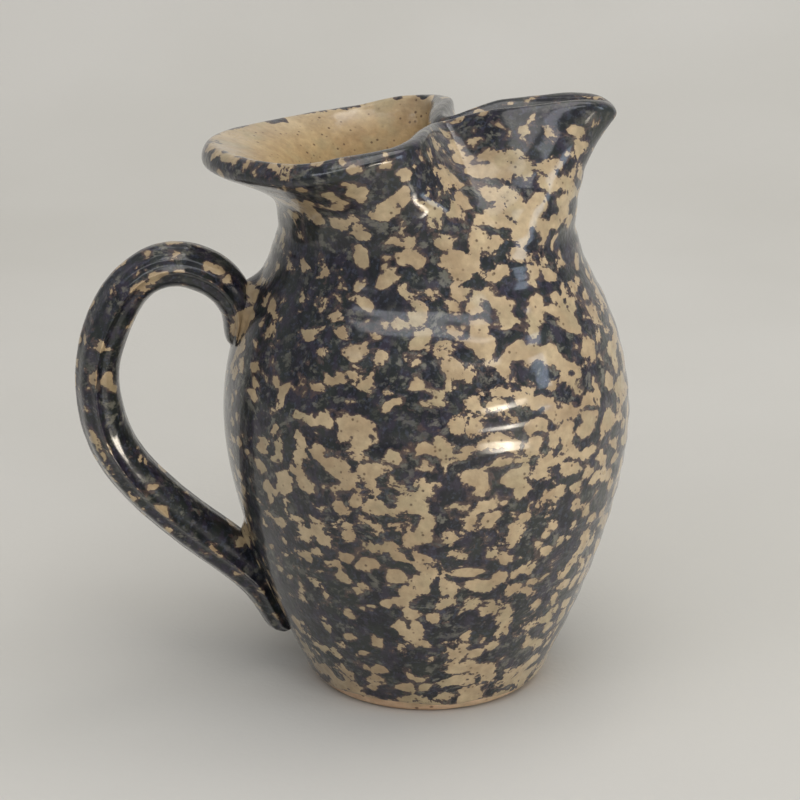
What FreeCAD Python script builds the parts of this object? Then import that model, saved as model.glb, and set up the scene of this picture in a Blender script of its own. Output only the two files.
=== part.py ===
import FreeCAD, Part
import math
import os

# Wheel-thrown ceramic pitcher with a pinched collar, a raised spout lobe and a pulled strap handle.
# Frame: origin at the centre of the flat foot, +Z up, +X towards the spout tip, millimetres.

doc = FreeCAD.newDocument("Pitcher")

# ---------------------------------------------------------------- driving sizes
SIZES = (
    ("foot_radius", 34.4),
    ("heel_height", 5.0),
    ("heel_radius", 37.6),
    ("lower_height", 38.0),
    ("lower_radius", 51.9),
    ("belly_height", 83.0),
    ("belly_radius", 62.1),
    ("shoulder_height", 114.0),
    ("shoulder_radius", 56.9),
    ("neck_height", 142.0),
    ("neck_radius", 44.0),
    ("wall_thickness", 5.2),
    ("floor_thickness", 7.0),
    ("lip_radius", 3.4),
    ("back_lip_height", 164.5),
    ("pinch_height", 171.3),
    ("spout_lip_height", 178.4),
    ("back_reach", 62.4),
    ("lobe_half_width", 49.6),
    ("spout_reach", 51.2),
    ("spout_half_width", 8.6),
    ("pinch_half_gap", 4.1),
    ("pinch_reach", 6.2),
    ("rim_skew", 0.05),
    ("rim_tilt", -0.02),
    ("glaze_thickness", 0.5),
    ("bare_foot_height", 3.4),
    ("handle_turn", 10.0),
    ("handle_reach", 99.7),
    ("handle_width", 18.4),
    ("arch_thickness", 12.6),
    ("grip_thickness", 12.7),
    ("tail_thickness", 14.2),
    ("arch_height", 132.9),
    ("upper_root_height", 117.0),
    ("lower_root_height", 33.0),
    ("tail_height", 17.5),
    ("upper_pad_height", 20.0),
    ("upper_pad_width", 27.0),
    ("lower_pad_height", 24.0),
    ("lower_pad_width", 24.0),
    ("upper_pad_depth", 6.4),
    ("lower_pad_depth", 9.0),
)
sheet = doc.addObject("Spreadsheet::Sheet", "Sizes")
for row, (name, value) in enumerate(SIZES, start=1):
    sheet.set("A%d" % row, name)
    sheet.set("B%d" % row, str(value))
    sheet.setAlias("B%d" % row, name)
doc.recompute()


def size(name):
    return float(getattr(sheet, name))


# ---------------------------------------------------------------- the thrown wall as a grid of rings
COLUMNS = 24
HALF = COLUMNS // 2
# rings of the round wall below the neck, given for a neck this high
RING_HEIGHTS = (12.0, 24.0, 38.0, 53.0, 68.0, 83.0, 97.0, 110.0, 121.0, 131.0)
RING_NECK = 142.0
# rings from the neck to the lip, and how late each side leaves the neck
FLARE_ROWS = 7
FRONT_POWER = 1.15
TIP_POWER = 1.7
BACK_POWER = 5.0
# softened corner under the foot: how far out and up it starts
FOOT_ROUND_OUT = 1.5
FOOT_ROUND_UP = 0.9
# across and along shares of the lip radius for the three rings of the roll
LIP_ROLL = ((1.0, 0.9), (0.0, 1.2), (-1.0, 0.9))
# inside floor: distance in from the foot radius and height over the floor
FLOOR_CURVE = ((5.5, 1.6), (12.0, 0.2), (22.0, 0.0))
INSIDE_HEEL_IN = 0.8
INSIDE_HEEL_UP = 1.5
FLOOR_EYE = 5.0
POLE_SWEEPS = 40
UP = FreeCAD.Vector(0, 0, 1)


def outline_stations():
    return [
        (0.0, size("foot_radius")),
        (size("heel_height"), size("heel_radius")),
        (size("lower_height"), size("lower_radius")),
        (size("belly_height"), size("belly_radius")),
        (size("shoulder_height"), size("shoulder_radius")),
        (size("neck_height"), size("neck_radius")),
    ]


def station_slope(stations, index):
    low = max(index - 1, 0)
    high = min(index + 1, len(stations) - 1)
    if high == len(stations) - 1 and index == high:
        return 0.0
    return (stations[high][1] - stations[low][1]) / (stations[high][0] - stations[low][0])


def outer_radius(height):
    """Outside radius of the round part of the wall at a height, a smooth curve through the stations."""
    stations = outline_stations()
    index = 0
    while index < len(stations) - 2 and height > stations[index + 1][0]:
        index += 1
    z0, r0 = stations[index]
    z1, r1 = stations[index + 1]
    span = z1 - z0
    k = (height - z0) / span
    m0 = station_slope(stations, index) * span
    m1 = station_slope(stations, index + 1) * span
    part0 = (2 * k ** 3 - 3 * k ** 2 + 1) * r0 + (k ** 3 - 2 * k ** 2 + k) * m0
    part1 = (-2 * k ** 3 + 3 * k ** 2) * r1 + (k ** 3 - k ** 2) * m1
    return part0 + part1


def lip_half():
    """Lip centre line, spout tip first, round one side to the back, one point a column."""
    spout = size("spout_reach")
    half_spout = size("spout_half_width")
    back = size("back_reach")
    lobe = size("lobe_half_width")
    low = size("back_lip_height")
    mid = size("pinch_height")
    high = size("spout_lip_height")
    reach = size("pinch_reach")
    gap = size("pinch_half_gap")
    return [
        (spout, 0.0, high - 1.2),
        (spout - 5.6, half_spout * 0.66, high + 0.4),
        (spout - 20.0, half_spout, high - 1.6),
        (reach + 13.5, half_spout * 0.86, mid + 4.0),
        (reach, gap, mid),
        (reach - 5.0, gap + 15.5, mid + 1.2),
        (reach - 7.5, lobe * 0.82, mid + 0.1),
        (-back * 0.22, lobe * 0.985, mid - 1.8),
        (-back * 0.42, lobe * 0.985, low + 2.3),
        (-back * 0.645, lobe * 0.82, low + 0.9),
        (-back * 0.83, lobe * 0.57, low + 0.3),
        (-back * 0.955, lobe * 0.29, low + 0.2),
        (-back, 0.0, low),
    ]


def lip_ring():
    half = lip_half()
    ring = [FreeCAD.Vector(*point) for point in half]
    for column in range(HALF - 1, 0, -1):
        x, y, z = half[column]
        ring.append(FreeCAD.Vector(x, -y, z))
    return ring


def circle_ring(radius, height):
    ring = []
    for column in range(COLUMNS):
        angle = 2 * math.pi * column / COLUMNS
        ring.append(FreeCAD.Vector(radius * math.cos(angle), radius * math.sin(angle), height))
    return ring


def flare_power(angle):
    """How late the wall leaves the neck: latest at the back, soonest at the pinch, late at the spout tip."""
    power = BACK_POWER + (FRONT_POWER - BACK_POWER) * abs(math.cos(angle / 2))
    if math.cos(angle) > 0.5:
        power += TIP_POWER * math.cos(1.5 * math.atan2(math.sin(angle), math.cos(angle))) ** 2
    return power


def flare_ring(share, lip, neck_mid):
    """Middle of the wall between the round neck (share 0) and the lip centre line (share 1)."""
    base = circle_ring(neck_mid, size("neck_height"))
    ring = []
    for column in range(COLUMNS):
        angle = 2 * math.pi * column / COLUMNS
        power = flare_power(angle)
        plan = share ** power
        start = base[column]
        end = lip[column]
        x = start.x + (end.x - start.x) * plan
        y = start.y + (end.y - start.y) * plan
        z = start.z + (end.z - start.z) * share + size("rim_tilt") * y * plan
        ring.append(FreeCAD.Vector(x + size("rim_skew") * y * plan, y, z))
    return ring


def grid_normals(rings):
    """Outward direction at every grid point, from its neighbours round and along the wall."""
    normals = []
    for row in range(len(rings)):
        before = rings[max(row - 1, 0)]
        after = rings[min(row + 1, len(rings) - 1)]
        line = []
        for column in range(COLUMNS):
            around = rings[row][(column + 1) % COLUMNS] - rings[row][column - 1]
            along = after[column] - before[column]
            line.append(around.cross(along).normalize())
        normals.append(line)
    return normals


def shifted(ring, line, distance):
    return [point + direction * distance for point, direction in zip(ring, line)]


def wall_rings():
    """Closed run of rings: up the outside, over the rolled lip and down the inside to the floor."""
    wall = size("wall_thickness")
    heights = [height * size("neck_height") / RING_NECK for height in RING_HEIGHTS]
    middle = [circle_ring(outer_radius(height) - wall / 2, height) for height in heights]
    neck_mid = size("neck_radius") - wall / 2
    lip = lip_ring()
    for step in range(FLARE_ROWS + 1):
        middle.append(flare_ring(step / FLARE_ROWS, lip, neck_mid))
    normals = grid_normals(middle)
    last = len(middle) - 1
    half_wall = []
    for row in range(len(middle)):
        share = max(row - len(heights), 0) / FLARE_ROWS
        half_wall.append(wall / 2 + (size("lip_radius") - wall / 2) * share)
    outside = [circle_ring(size("foot_radius"), 0.0)]
    outside.append(circle_ring(size("foot_radius") + FOOT_ROUND_OUT, FOOT_ROUND_UP))
    outside.append(circle_ring(size("heel_radius"), size("heel_height")))
    for row in range(len(middle)):
        outside.append(shifted(middle[row], normals[row], half_wall[row]))
    roll = []
    radius = size("lip_radius")
    for side, rise in LIP_ROLL:
        ring = []
        for column in range(COLUMNS):
            along = (middle[last][column] - middle[last - 1][column]).normalize()
            point = middle[last][column] + normals[last][column] * (side * radius)
            ring.append(point + along * (rise * radius))
        roll.append(ring)
    inside = []
    for row in range(last, -1, -1):
        inside.append(shifted(middle[row], normals[row], -half_wall[row]))
    floor = size("floor_thickness")
    foot = size("foot_radius")
    heel = outer_radius(heights[0]) - wall - INSIDE_HEEL_IN
    inside[-1] = circle_ring(heel, heights[0] + INSIDE_HEEL_UP)
    for distance_in, above in FLOOR_CURVE:
        inside.append(circle_ring(foot - distance_in, floor + above))
    inside.append(circle_ring(FLOOR_EYE, floor))
    return outside, roll, inside


def ring_poles(ring):
    """Control points whose smooth closed curve passes through the ring."""
    poles = [FreeCAD.Vector(point) for point in ring]
    for _ in range(POLE_SWEEPS):
        for column in range(COLUMNS):
            left = poles[column - 1]
            right = poles[(column + 1) % COLUMNS]
            poles[column] = (ring[column] * 6 - left - right) * 0.25
    return poles


def ring_surface(rings):
    """Smooth closed-round surface through a run of rings."""
    grid = [ring_poles(ring) for ring in rings]
    poles = [[grid[row][column] for row in range(len(grid))] for column in range(COLUMNS)]
    round_knots = [float(k) for k in range(COLUMNS + 1)]
    round_mults = [1] * (COLUMNS + 1)
    along_knots = [float(k) for k in range(len(grid) - 2)]
    along_mults = [4] + [1] * (len(along_knots) - 2) + [4]
    surface = Part.BSplineSurface()
    surface.buildFromPolesMultsKnots(
        poles, round_mults, along_mults, round_knots, along_knots, True, False, 3, 3)
    return surface


def surface_face(surface, low, high):
    bounds = surface.bounds()
    return surface.toShape(bounds[0], bounds[1], low, high)


def iso_wire(surface, along):
    return Part.Wire([surface.vIso(along).toShape()])


def closed_solid(faces):
    shell = Part.makeShell(faces)
    shell.sewShape()
    solid = Part.makeSolid(shell)
    if solid.Volume < 0:
        solid.reverse()
    return solid


def collar_face(first, second, along):
    """Narrow face closing the edge of a skin between two surfaces."""
    start = first.vIso(along).getPoles()
    end = second.vIso(along).getPoles()
    poles = [[start[column], end[column]] for column in range(COLUMNS)]
    round_knots = [float(k) for k in range(COLUMNS + 1)]
    round_mults = [1] * (COLUMNS + 1)
    strip = Part.BSplineSurface()
    strip.buildFromPolesMultsKnots(
        poles, round_mults, [2, 2], round_knots, [0.0, 1.0], True, False, 3, 1)
    return strip.toShape()


outside_rings, roll_rings, inside_rings = wall_rings()
all_rings = outside_rings + roll_rings + inside_rings
all_normals = grid_normals(all_rings)
glaze_rings = []
for ring, line in zip(all_rings, all_normals):
    glaze_rings.append(shifted(ring, line, size("glaze_thickness")))
glaze_rings[-1] = circle_ring(FLOOR_EYE, size("floor_thickness") + size("glaze_thickness"))
wall_surface = ring_surface(all_rings)
glaze_surface = ring_surface(glaze_rings)
wall_end = wall_surface.bounds()[3]


def place_where_height(surface, height):
    """Run value up the outside at which the wall reaches a height."""
    low = 0.0
    high = float(len(outside_rings) - 6)
    for _ in range(50):
        middle = (low + high) / 2
        if surface.value(0.0, middle).z < height:
            low = middle
        else:
            high = middle
    return low


glaze_start = place_where_height(wall_surface, size("bare_foot_height"))
liner_start = float(len(outside_rings) + len(roll_rings)) - 1.4

# thrown clay body
foot_disc = Part.Face(iso_wire(wall_surface, 0.0))
floor_disc = Part.Face(iso_wire(wall_surface, wall_end))
body_shape = closed_solid([surface_face(wall_surface, 0.0, wall_end), foot_disc, floor_disc])
clay_body = doc.addObject("Part::Feature", "ClayBody")
clay_body.Label = "clay_body"
clay_body.Shape = body_shape
clay_body.Placement = FreeCAD.Placement()


# ---------------------------------------------------------------- pulled strap handle
def handle_path():
    """Centre line of the strap in its own upright plane: reach from the axis, height."""
    reach = size("handle_reach")
    top = size("arch_height")
    upper = size("upper_root_height")
    lower = size("lower_root_height")
    tail = size("tail_height")
    belly = outer_radius(upper)
    return [
        (outer_radius(upper - 8.5) - 0.2, upper - 8.5),
        (belly + 1.3, upper),
        (belly + 3.8, upper + 7.6),
        (belly + 10.5, upper + 13.4),
        (belly + 20.5, top),
        (belly + 30.6, top - 4.0),
        (reach - 5.8, top - 13.8),
        (reach - 0.9, top - 27.2),
        (reach - 0.1, top - 40.4),
        (reach - 3.4, top - 54.8),
        (reach - 12.0, top - 68.2),
        (reach - 24.7, lower + 19.0),
        (outer_radius(lower) + 12.4, lower + 8.8),
        (outer_radius(lower) + 3.2, lower),
        (outer_radius(tail + 7.5) + 1.9, tail + 7.5),
        (outer_radius(tail) + 1.9, tail),
        (outer_radius(tail - 3.0) + 1.0, tail - 3.0),
    ]


# share of the full strap thickness and width at each path point, root first, tail last
ARCH_SHARES = (0.36, 0.72, 0.92, 1.0, 1.0, 0.98)
GRIP_SHARES = (1.03, 1.0, 1.0, 1.04)
TAIL_SHARES = (0.95, 0.99, 1.0, 0.94, 0.80, 0.62, 0.30)
WIDTH_SHARES = (0.92, 1.0, 1.02, 1.0, 1.0, 1.0, 1.0, 1.0, 1.0, 1.0, 1.0, 1.0, 1.0, 0.98, 0.90, 0.72, 0.38)


def section_rules():
    rules = [("arch_thickness", share) for share in ARCH_SHARES]
    rules += [("grip_thickness", share) for share in GRIP_SHARES]
    rules += [("tail_thickness", share) for share in TAIL_SHARES]
    return rules


def strap_sections(prefix, growth):
    """Ellipses along the strap, each sized from the sheet and grown by a skin thickness."""
    path = handle_path()
    turn = FreeCAD.Rotation(UP, 180.0 + size("handle_turn"))
    sections = []
    for index, (rule, share) in enumerate(section_rules()):
        before = path[max(index - 1, 0)]
        after = path[min(index + 1, len(path) - 1)]
        along = FreeCAD.Vector(after[0] - before[0], 0, after[1] - before[1]).normalize()
        reach, height = path[index]
        if growth > 0 and index == len(path) - 1:
            reach += along.x * growth
            height += along.z * growth
        side = FreeCAD.Vector(0, 1, 0)
        across = along.cross(side)
        turned = FreeCAD.Rotation(side, across, along)
        ellipse = doc.addObject("Part::Ellipse", "%s%02d" % (prefix, index))
        width = "Sizes.handle_width * %.2f / 2 + %.2f" % (WIDTH_SHARES[index], growth)
        depth = "Sizes.%s * %.2f / 2 + %.2f" % (rule, share, growth)
        ellipse.setExpression("MajorRadius", width)
        ellipse.setExpression("MinorRadius", depth)
        point = turn.multVec(FreeCAD.Vector(reach, 0, height))
        ellipse.Placement = FreeCAD.Placement(point, turn.multiply(turned))
        sections.append(ellipse)
    return sections


def strap_loft(name, growth):
    loft = doc.addObject("Part::Loft", name)
    loft.Sections = strap_sections(name + "Section", growth)
    loft.Solid = True
    loft.Ruled = False
    loft.Closed = False
    return loft


def wall_tilt(height):
    rise = outer_radius(height + 2.0) - outer_radius(height - 2.0)
    return math.degrees(math.atan2(rise, 4.0))


def root_pad(name, height, side):
    """Lens of luting clay pressed over a root of the strap, lying along the wall."""
    pad = doc.addObject("Part::Ellipsoid", name)
    pad.setExpression("Radius1", "Sizes.%s_pad_height / 2" % side)
    pad.setExpression("Radius2", "Sizes.%s_pad_depth / 2" % side)
    pad.setExpression("Radius3", "Sizes.%s_pad_width / 2" % side)
    turn = FreeCAD.Rotation(UP, 180.0 + size("handle_turn"))
    tilt = FreeCAD.Rotation(FreeCAD.Vector(0, 1, 0), wall_tilt(height))
    point = turn.multVec(FreeCAD.Vector(outer_radius(height), 0, height))
    pad.Placement = FreeCAD.Placement(point, turn.multiply(tilt))
    return pad


def cut(name, base, tool):
    piece = doc.addObject("Part::Cut", name)
    piece.Base = base
    piece.Tool = tool
    piece.Refine = False
    return piece


def join(name, pieces):
    fused = doc.addObject("Part::MultiFuse", name)
    fused.Shapes = pieces
    return fused


strap = strap_loft("Strap", 0.0)
upper_height = size("upper_root_height") - 4.0
lower_height = size("lower_root_height") + 2.0
upper_pad = root_pad("UpperPad", upper_height, "upper")
lower_pad = root_pad("LowerPad", lower_height, "lower")
doc.recompute()

clay_handle = cut("ClayHandle", strap, clay_body)
clay_handle.Label = "clay_handle"
upper_trim = cut("UpperTrim", upper_pad, clay_body)
upper_join = cut("UpperJoin", upper_trim, strap)
upper_join.Label = "upper_join_clay"
lower_trim = cut("LowerTrim", lower_pad, clay_body)
lower_join = cut("LowerJoin", lower_trim, strap)
lower_join.Label = "lower_join_clay"
doc.recompute()

# ---------------------------------------------------------------- glaze skins
wall_skin = doc.addObject("Part::Feature", "WallSkin")
wall_skin.Shape = closed_solid([
    surface_face(wall_surface, glaze_start, liner_start),
    surface_face(glaze_surface, glaze_start, liner_start),
    collar_face(wall_surface, glaze_surface, glaze_start),
    collar_face(wall_surface, glaze_surface, liner_start),
])
wall_skin.Placement = FreeCAD.Placement()

liner_glaze = doc.addObject("Part::Feature", "LinerGlaze")
liner_glaze.Label = "liner_glaze"
liner_glaze.Shape = closed_solid([
    surface_face(wall_surface, liner_start, wall_end),
    surface_face(glaze_surface, liner_start, wall_end),
    collar_face(wall_surface, glaze_surface, liner_start),
    Part.Face(iso_wire(wall_surface, wall_end)),
    Part.Face(iso_wire(glaze_surface, wall_end)),
])
liner_glaze.Placement = FreeCAD.Placement()

roots = join("Roots", [strap, upper_pad, lower_pad])
outer_glaze = cut("OuterGlaze", wall_skin, roots)
outer_glaze.Label = "outer_glaze"

strap_skin = strap_loft("StrapSkin", size("glaze_thickness"))
doc.recompute()
# The strap's skin is the grown strap less all it lies against.
coat = strap_skin.Shape
for backing in (strap, clay_body, wall_skin, upper_pad, lower_pad):
    coat = coat.cut(backing.Shape)
handle_glaze = doc.addObject("Part::Feature", "HandleGlaze")
handle_glaze.Shape = coat
handle_glaze.Placement = FreeCAD.Placement()
handle_glaze.Label = "handle_glaze"
doc.recompute()

# ---------------------------------------------------------------- checks and export
NODES = (clay_body, clay_handle, upper_join, lower_join, outer_glaze, liner_glaze, handle_glaze)
for item in doc.Objects:
    for state in item.State:
        if state in ("Invalid", "Error"):
            raise RuntimeError("%s is %s" % (item.Name, state))
for node in NODES:
    if node.Shape.isNull() or not node.Shape.isValid():
        raise RuntimeError("%s has no sound shape" % node.Label)
    if not node.Shape.Solids:
        raise RuntimeError("%s holds no solid" % node.Label)

os.makedirs("parts", exist_ok=True)
for node in NODES:
    solids = node.Shape.Solids
    print(node.Label, "solids", len(solids), "volume", round(node.Shape.Volume, 1), node.Shape.BoundBox)
    node.Shape.exportStep("parts/%s.step" % node.Label)
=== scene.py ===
# %% [markdown]
# # A sponged stoneware pitcher
# The packed model gives the solid pitcher in its own frame: foot centre at the origin, +Z up, +X to the
# spout. Every surface here is rebuilt over that frame with the small unevenness of hand-thrown clay.

# %% Load the frame
import math
import bpy
import bmesh
import numpy as np
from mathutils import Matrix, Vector


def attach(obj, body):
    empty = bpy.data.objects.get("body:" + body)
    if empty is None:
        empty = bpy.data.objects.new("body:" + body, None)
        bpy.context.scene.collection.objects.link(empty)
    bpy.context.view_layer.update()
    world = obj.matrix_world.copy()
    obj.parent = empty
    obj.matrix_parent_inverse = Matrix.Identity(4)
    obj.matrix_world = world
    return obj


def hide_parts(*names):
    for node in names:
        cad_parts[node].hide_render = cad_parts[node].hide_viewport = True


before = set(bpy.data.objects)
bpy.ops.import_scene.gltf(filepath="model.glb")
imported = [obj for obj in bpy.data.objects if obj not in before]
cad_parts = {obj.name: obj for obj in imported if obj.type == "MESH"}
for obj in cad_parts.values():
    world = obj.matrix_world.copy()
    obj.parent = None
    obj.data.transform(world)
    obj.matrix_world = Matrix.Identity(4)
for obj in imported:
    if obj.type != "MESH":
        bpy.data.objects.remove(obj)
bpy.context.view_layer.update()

print("nodes", sorted(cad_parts))

MM = 0.001
scene = bpy.context.scene

# %% [markdown]
# ## The thrown wall as a run of rings
# A potter throws the wall as a round vase, then pinches the soft collar in from both sides so that a
# narrow spout lobe stands up at the front. The same can be done with a cage of rings: circles up to the
# neck, then rings that ease towards the pinched lip line. A subdivided cage of that kind is a smooth
# spline surface, so 24 points a ring are enough, and every size stays a named value.

# %% Sizes of the thrown form, millimetres
COLUMNS = 24
FOOT_RADIUS = 34.4
HEEL = (5.0, 37.6)
LOWER = (38.0, 51.9)
BELLY = (83.0, 62.1)
SHOULDER = (114.0, 56.9)
NECK = (142.0, 44.0)
WALL = 5.2
FLOOR = 7.0
LIP_RADIUS = 3.4
GLAZE = 0.5
RIM_SKEW = 0.05
RIM_TILT = -0.02
FRONT_POWER = 1.15
TIP_POWER = 1.7
BACK_POWER = 5.0
FLARE_ROWS = 7
RING_HEIGHTS = (12.0, 24.0, 38.0, 53.0, 68.0, 83.0, 97.0, 110.0, 121.0, 131.0)
STATIONS = ((0.0, FOOT_RADIUS), HEEL, LOWER, BELLY, SHOULDER, NECK)
FOOT_ROUND_OUT, FOOT_ROUND_UP = 1.5, 0.9
LIP_ROLL = ((1.0, 0.9), (0.0, 1.2), (-1.0, 0.9))
INSIDE_HEEL_IN, INSIDE_HEEL_UP = 0.8, 1.5
FLOOR_EYE = 5.0
FLOOR_CURVE = ((FOOT_RADIUS - 5.5, FLOOR + 1.6), (FOOT_RADIUS - 12.0, FLOOR + 0.2),
               (FOOT_RADIUS - 22.0, FLOOR), (FLOOR_EYE, FLOOR))


def outer_radius(height):
    """Outside radius of the round part of the wall, a smooth curve through the stations."""
    index = 0
    while index < len(STATIONS) - 2 and height > STATIONS[index + 1][0]:
        index += 1

    def slope(at):
        if at == len(STATIONS) - 1:
            return 0.0
        low, high = STATIONS[max(at - 1, 0)], STATIONS[at + 1]
        return (high[1] - low[1]) / (high[0] - low[0])

    (z0, r0), (z1, r1) = STATIONS[index], STATIONS[index + 1]
    span = z1 - z0
    k = (height - z0) / span
    start = (2 * k ** 3 - 3 * k ** 2 + 1) * r0 + (k ** 3 - 2 * k ** 2 + k) * slope(index) * span
    end = (-2 * k ** 3 + 3 * k ** 2) * r1 + (k ** 3 - k ** 2) * slope(index + 1) * span
    return start + end


for station, (station_height, _) in (("belly", BELLY), ("neck", NECK)):
    print(station, "radius", round(outer_radius(station_height), 2), "mm")

# %% The pinched lip line
SPOUT_REACH, SPOUT_HALF, SPOUT_TOP = 51.2, 8.6, 178.4
BACK_REACH, LOBE_HALF, BACK_TOP = 62.4, 49.6, 164.5
PINCH_REACH, PINCH_GAP, PINCH_TOP = 6.2, 4.1, 171.3

LIP_HALF = np.array([
    (SPOUT_REACH, 0.0, SPOUT_TOP - 1.2),
    (SPOUT_REACH - 5.6, SPOUT_HALF * 0.66, SPOUT_TOP + 0.4),
    (SPOUT_REACH - 20.0, SPOUT_HALF, SPOUT_TOP - 1.6),
    (PINCH_REACH + 13.5, SPOUT_HALF * 0.86, PINCH_TOP + 4.0),
    (PINCH_REACH, PINCH_GAP, PINCH_TOP),
    (PINCH_REACH - 5.0, PINCH_GAP + 15.5, PINCH_TOP + 1.2),
    (PINCH_REACH - 7.5, LOBE_HALF * 0.82, PINCH_TOP + 0.1),
    (-BACK_REACH * 0.22, LOBE_HALF * 0.985, PINCH_TOP - 1.8),
    (-BACK_REACH * 0.42, LOBE_HALF * 0.985, BACK_TOP + 2.3),
    (-BACK_REACH * 0.645, LOBE_HALF * 0.82, BACK_TOP + 0.9),
    (-BACK_REACH * 0.83, LOBE_HALF * 0.57, BACK_TOP + 0.3),
    (-BACK_REACH * 0.955, LOBE_HALF * 0.29, BACK_TOP + 0.2),
    (-BACK_REACH, 0.0, BACK_TOP),
])
lip_line = np.vstack([LIP_HALF, (LIP_HALF * (1, -1, 1))[-2:0:-1]])
turns = 2 * math.pi * np.arange(COLUMNS) / COLUMNS
print("lip line", len(lip_line), "points, half gap at the pinch", PINCH_GAP, "mm")


def circle_ring(radius, height):
    """Level ring of points about the pot's own axis."""
    return np.stack([radius * np.cos(turns), radius * np.sin(turns), np.full(COLUMNS, height)], 1)


def flare_ring(share):
    """Middle of the wall between the round neck (share 0) and the lip line (share 1)."""
    base = circle_ring(NECK[1] - WALL / 2, NECK[0])
    power = BACK_POWER + (FRONT_POWER - BACK_POWER) * np.abs(np.cos(turns / 2))
    facing = np.arctan2(np.sin(turns), np.cos(turns))
    power += TIP_POWER * np.where(np.cos(turns) > 0.5, np.cos(1.5 * facing) ** 2, 0.0)
    plan = share ** power
    ring = base.copy()
    ring[:, :2] += (lip_line[:, :2] - base[:, :2]) * plan[:, None]
    ring[:, 2] += (lip_line[:, 2] - base[:, 2]) * share + RIM_TILT * ring[:, 1] * plan
    ring[:, 0] += RIM_SKEW * ring[:, 1] * plan
    return ring


def grid_normals(rings):
    """Outward direction at each ring point, from its neighbours round and along the wall."""
    grid = np.array(rings)
    around = np.roll(grid, -1, 1) - np.roll(grid, 1, 1)
    along = np.empty_like(grid)
    along[1:-1] = grid[2:] - grid[:-2]
    along[0], along[-1] = grid[1] - grid[0], grid[-1] - grid[-2]
    normals = np.cross(around, along)
    return normals / np.linalg.norm(normals, axis=2, keepdims=True)


# %% Rings up the outside, over the lip and down the inside
middle = [circle_ring(outer_radius(height) - WALL / 2, height) for height in RING_HEIGHTS]
middle += [flare_ring(step / FLARE_ROWS) for step in range(FLARE_ROWS + 1)]
middle_normals = grid_normals(middle)
lip_share = np.clip((np.arange(len(middle)) - len(RING_HEIGHTS)) / FLARE_ROWS, 0, 1)
half_wall = WALL / 2 + (LIP_RADIUS - WALL / 2) * lip_share
outside = [circle_ring(FOOT_RADIUS, 0.0), circle_ring(FOOT_RADIUS + FOOT_ROUND_OUT, FOOT_ROUND_UP)]
outside += [circle_ring(HEEL[1], HEEL[0])]
FOOT_ROWS = len(outside)
outside += [ring + normal * half for ring, normal, half in zip(middle, middle_normals, half_wall)]
roll = []
for side, rise in LIP_ROLL:
    along = middle[-1] - middle[-2]
    along /= np.linalg.norm(along, axis=1, keepdims=True)
    roll.append(middle[-1] + middle_normals[-1] * side * LIP_RADIUS + along * rise * LIP_RADIUS)
inside = [ring - normal * half for ring, normal, half in zip(middle, middle_normals, half_wall)][::-1]
inside_heel = outer_radius(RING_HEIGHTS[0]) - WALL - INSIDE_HEEL_IN
inside[-1] = circle_ring(inside_heel, RING_HEIGHTS[0] + INSIDE_HEEL_UP)
inside += [circle_ring(radius, height) for radius, height in FLOOR_CURVE]
clay_rings = outside + roll + inside
clay_normals = grid_normals(clay_rings)
skin_rings = [ring + normal * GLAZE for ring, normal in zip(clay_rings, clay_normals)]
skin_rings[-1] = circle_ring(FLOOR_EYE, FLOOR + GLAZE)
print(len(outside), "outside,", len(roll), "roll and", len(inside), "inside rings")

# %% Cage points from ring points
RING_SWEEPS = 40


def cage_points(rings):
    """Ring points pushed out so that the subdivided surface passes through the rings."""
    wanted = np.array(rings)
    cage = wanted.copy()
    for _ in range(RING_SWEEPS):
        cage = (wanted * 6 - np.roll(cage, 1, 1) - np.roll(cage, -1, 1)) / 4
    return cage


belly_cage = cage_points([circle_ring(BELLY[1], BELLY[0])])
cage_proud = float(np.hypot(*belly_cage[0, 0, :2])) - BELLY[1]
print("a cage ring stands", round(cage_proud, 2), "mm proud of the belly")


# %% [markdown]
# ## From rings to a mesh
# Each cage becomes quads that close round the ring. The first and last ring can be closed with a small
# cap of their own. Named attributes carry facts along the surface that the glaze needs later, such as how
# far a point is on the inside, so the finish can follow the form without any painting.

# %% Cage to mesh
def ring_mesh(name, rings, attributes, cap_start=False, cap_end=False, flip=False):
    """Object from a grid of rings in millimetres, with one float attribute for each entry."""
    grid = np.array(rings)
    rows, columns = grid.shape[:2]
    vertices = [tuple(point * MM) for point in grid.reshape(-1, 3)]
    faces = []
    for row in range(rows - 1):
        for column in range(columns):
            right = (column + 1) % columns
            a, b = row * columns + column, row * columns + right
            c, d = (row + 1) * columns + right, (row + 1) * columns + column
            faces.append((a, b, c, d))
    values = {}
    for key, value in attributes.items():
        values[key] = list(np.broadcast_to(value, (rows, columns)).reshape(-1))
    for wanted, row in ((cap_start, 0), (cap_end, rows - 1)):
        if not wanted:
            continue
        centre = len(vertices)
        vertices.append(tuple(grid[row].mean(0) * MM))
        for key in values:
            values[key].append(values[key][row * columns])
        for column in range(columns):
            right = (column + 1) % columns
            a, b = row * columns + column, row * columns + right
            faces.append((centre, b, a) if row == 0 else (centre, a, b))
    if flip:
        faces = [face[::-1] for face in faces]
    mesh = bpy.data.meshes.new(name)
    mesh.from_pydata(vertices, [], faces)
    for key, value in values.items():
        layer = mesh.attributes.new(key, "FLOAT", "POINT")
        layer.data.foreach_set("value", np.array(value, np.float32))
    mesh.update()
    obj = bpy.data.objects.new(name, mesh)
    scene.collection.objects.link(obj)
    return obj


def triangle_count(obj):
    """Triangles that the faces of a piece come to."""
    return sum(len(face.vertices) - 2 for face in obj.data.polygons)


print("a cage ring has", COLUMNS, "points, one each", round(360 / COLUMNS, 1), "degrees")


# %% [markdown]
# ## Fired-clay skin tree
# Thrown walls carry faint spiral ridges from the fingers, and nothing hand-made is quite round. A
# Geometry Nodes tree adds both by rule: it subdivides a cage, then moves each point along its normal by a
# spiral wave and by slow noise. Both only ever push inwards, so the piece never outgrows its solid.

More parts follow.
